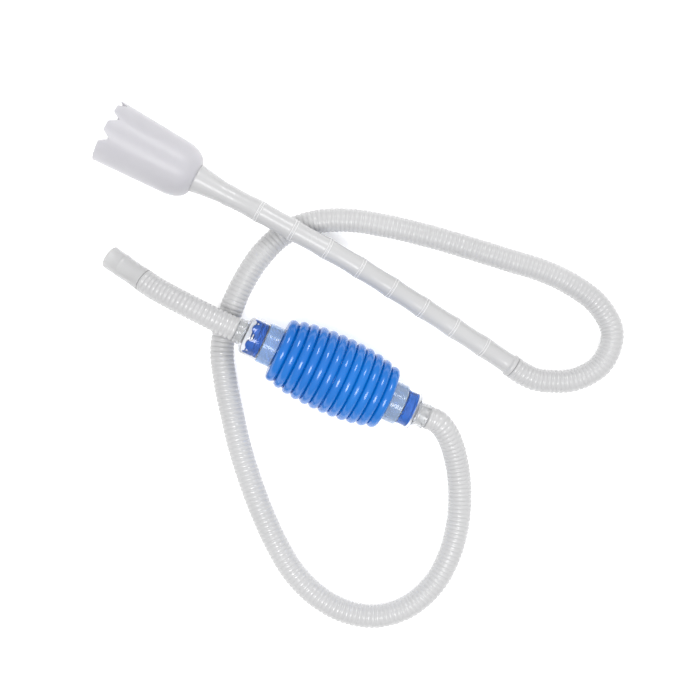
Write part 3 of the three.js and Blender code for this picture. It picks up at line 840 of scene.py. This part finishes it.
def add_spout():
    bore = SPOUT_R - 1.6
    mouth = SPOUT_LENGTH
    outline = [
        (9.3, GAP), (9.7, GAP + 0.3), (9.72, 1.6), (9.55, 4), (9.35, 6.5), (9.3, 8), (9.33, 10),
        (9.42, 14), (9.5, 18), (9.5, 20.2), (9.62, 20.9), (9.85, 21.5), (9.85, 22.3), (9.62, 22.9),
        (9.5, 23.6), (9.55, 28), (9.7, 32), (9.75, mouth - 0.9), (9.6, mouth - 0.3),
        (9.2, mouth), (bore + 0.5, mouth), (bore + 0.1, mouth - 0.4), (bore, mouth - 1),
        (bore, 22.6), (bore - 0.15, 22.2), (bore - 0.15, 8), (bore, 7), (bore, GAP),
    ]
    piece = turned("smooth_outlet_spout", Straight(SPOUT_ROOT, SPOUT_AIM), outline, 72, 40)
    return finish_piece(piece, "outlet_spout", "spout", "outlet_line")


# ---- Assembly ----------------------------------------------------------------------------

add_camera()
main_hose = add_hose("ribbed_main_hose", "main_hose", main_path, "inlet_line")
add_hose("ribbed_outlet_hose", "outlet_hose", outlet_path, "outlet_line")
add_bellows()
for pump_end in (INLET, OUTLET):
    add_cap(pump_end)
    add_washer(pump_end)
    add_cuff(pump_end)
    add_seat(pump_end)
    add_disc(pump_end)
add_cage(INLET, radius=11.7, length=7.2, lobes=4, lobe_width=8.0)
add_cage(OUTLET, radius=14.4, length=6.6, lobes=6, lobe_width=10.5)
add_nozzle()
add_wand()
add_spout()


# ---- Floor and light -----------------------------------------------------------------------

FLOOR_HALF = 6.0
FLOOR_Z = -0.0004                # just under the siphon's lowest point
FLOOR_GLOW = 0.28
LIGHT_AIM_Y = -0.03
WORLD_DIM, WORLD_BRIGHT = 0.56, 0.84     # at the horizon and from WORLD_TOP upwards
WORLD_TOP = 0.8


def add_floor():
    mesh = bpy.data.meshes.new("floor")
    corners = [(-1, -1), (1, -1), (1, 1), (-1, 1)]
    vertices = [(x * FLOOR_HALF, y * FLOOR_HALF, FLOOR_Z) for x, y in corners]
    mesh.from_pydata(vertices, [], [(0, 1, 2, 3)])
    floor = bpy.data.objects.new("floor", mesh)
    bpy.context.scene.collection.objects.link(floor)
    material, _, _, shader = new_material("white_floor")
    shader.inputs["Base Color"].default_value = (0.97, 0.97, 0.97, 1)
    shader.inputs["Roughness"].default_value = 0.9
    shader.inputs["Specular IOR Level"].default_value = 0.1
    shader.inputs["Emission Color"].default_value = (1, 1, 1, 1)
    shader.inputs["Emission Strength"].default_value = FLOOR_GLOW
    mesh.materials.append(material)


def add_soft_box(name, place, width, depth, power):
    """A rectangular light facing the siphon, its width along X."""
    data = bpy.data.lights.new(name, "AREA")
    data.shape = "RECTANGLE"
    data.size = width
    data.size_y = depth
    data.energy = power
    light = bpy.data.objects.new(name, data)
    light.location = place
    back = (Vector(place) - Vector((place[0], LIGHT_AIM_Y, 0))).normalized()
    across = Vector((1, 0, 0))
    light.rotation_euler = Matrix((across, back.cross(across), back)).transposed().to_euler()
    bpy.context.scene.collection.objects.link(light)


def add_lights():
    add_soft_box("overhead_soft_box", (0.05, -0.46, 1.5), width=0.8, depth=0.55, power=15)
    add_soft_box("far_soft_box", (0.0, 1.05, 1.15), width=0.4, depth=0.45, power=8)
    world = bpy.data.worlds.new("studio")
    world.use_nodes = True
    nodes, links = world.node_tree.nodes, world.node_tree.links
    direction = nodes.new("ShaderNodeTexCoord")
    parts = nodes.new("ShaderNodeSeparateXYZ")
    links.new(direction.outputs["Generated"], parts.inputs["Vector"])
    rise = nodes.new("ShaderNodeMapRange")
    rise.inputs["From Min"].default_value = 0.0
    rise.inputs["From Max"].default_value = WORLD_TOP
    rise.inputs["To Min"].default_value = WORLD_DIM
    rise.inputs["To Max"].default_value = WORLD_BRIGHT
    links.new(parts.outputs["Z"], rise.inputs["Value"])
    background = nodes["Background"]
    background.inputs["Color"].default_value = (1, 1, 1, 1)
    links.new(rise.outputs["Result"], background.inputs["Strength"])
    bpy.context.scene.world = world
    bpy.context.scene.view_settings.view_transform = "Standard"


add_floor()
add_lights()
